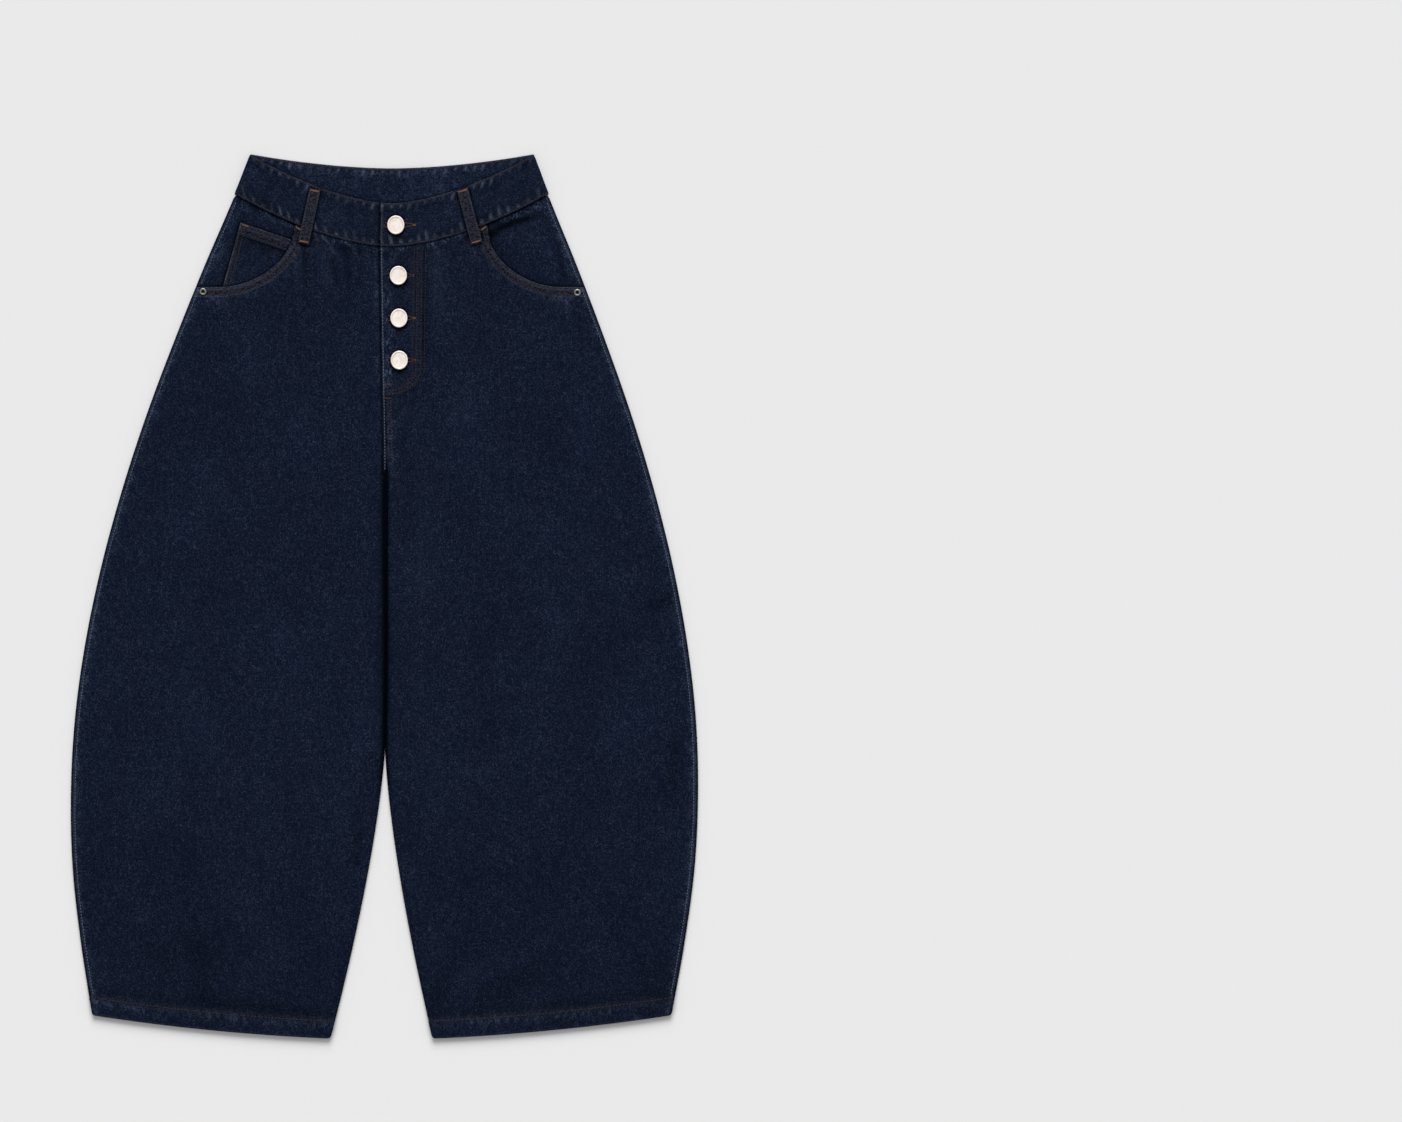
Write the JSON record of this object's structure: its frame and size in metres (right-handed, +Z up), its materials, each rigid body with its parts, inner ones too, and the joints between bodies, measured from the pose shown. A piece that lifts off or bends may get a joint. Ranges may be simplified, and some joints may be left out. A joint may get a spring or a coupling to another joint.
{
  "type": "barrel leg trousers",
  "caption": "Barrel leg denim trousers laid flat, with a lapped button fly, curved front pockets, coin pocket, belt loops and back patch.",
  "frame": {"origin": "on the surface under the middle of the laid trousers", "axes": "+Y towards the waist, +X towards the wearer's left, +Z up, out of the front of the trousers"},
  "size_m": [0.7212, 1.0174, 0.0118],
  "materials": {
    "denim": "matte dark indigo twill",
    "patch": "matte dark navy, bare",
    "button": "satin cream pearl",
    "rivet": "antique nickel, dull, dark in the hollow"
  },
  "bodies": {
    "root": {"front_left": "denim", "front_right": "denim", "back_left": "denim", "back_right": "denim", "waistband_front_left": "denim", "waistband_front_right": "denim", "waistband_back": "denim", "pocket_facing_left": "denim", "pocket_facing_right": "denim", "coin_pocket": "denim", "back_pocket_left": "denim", "back_pocket_right": "denim", "belt_loop_front_left": "denim", "belt_loop_front_right": "denim", "belt_loop_back_left": "denim", "belt_loop_back_right": "denim", "back_patch": "patch", "button_1": "button", "button_2": "button", "button_3": "button", "button_4": "button", "rivet_left": "rivet", "rivet_right": "rivet"}
  },
  "joints": []
}
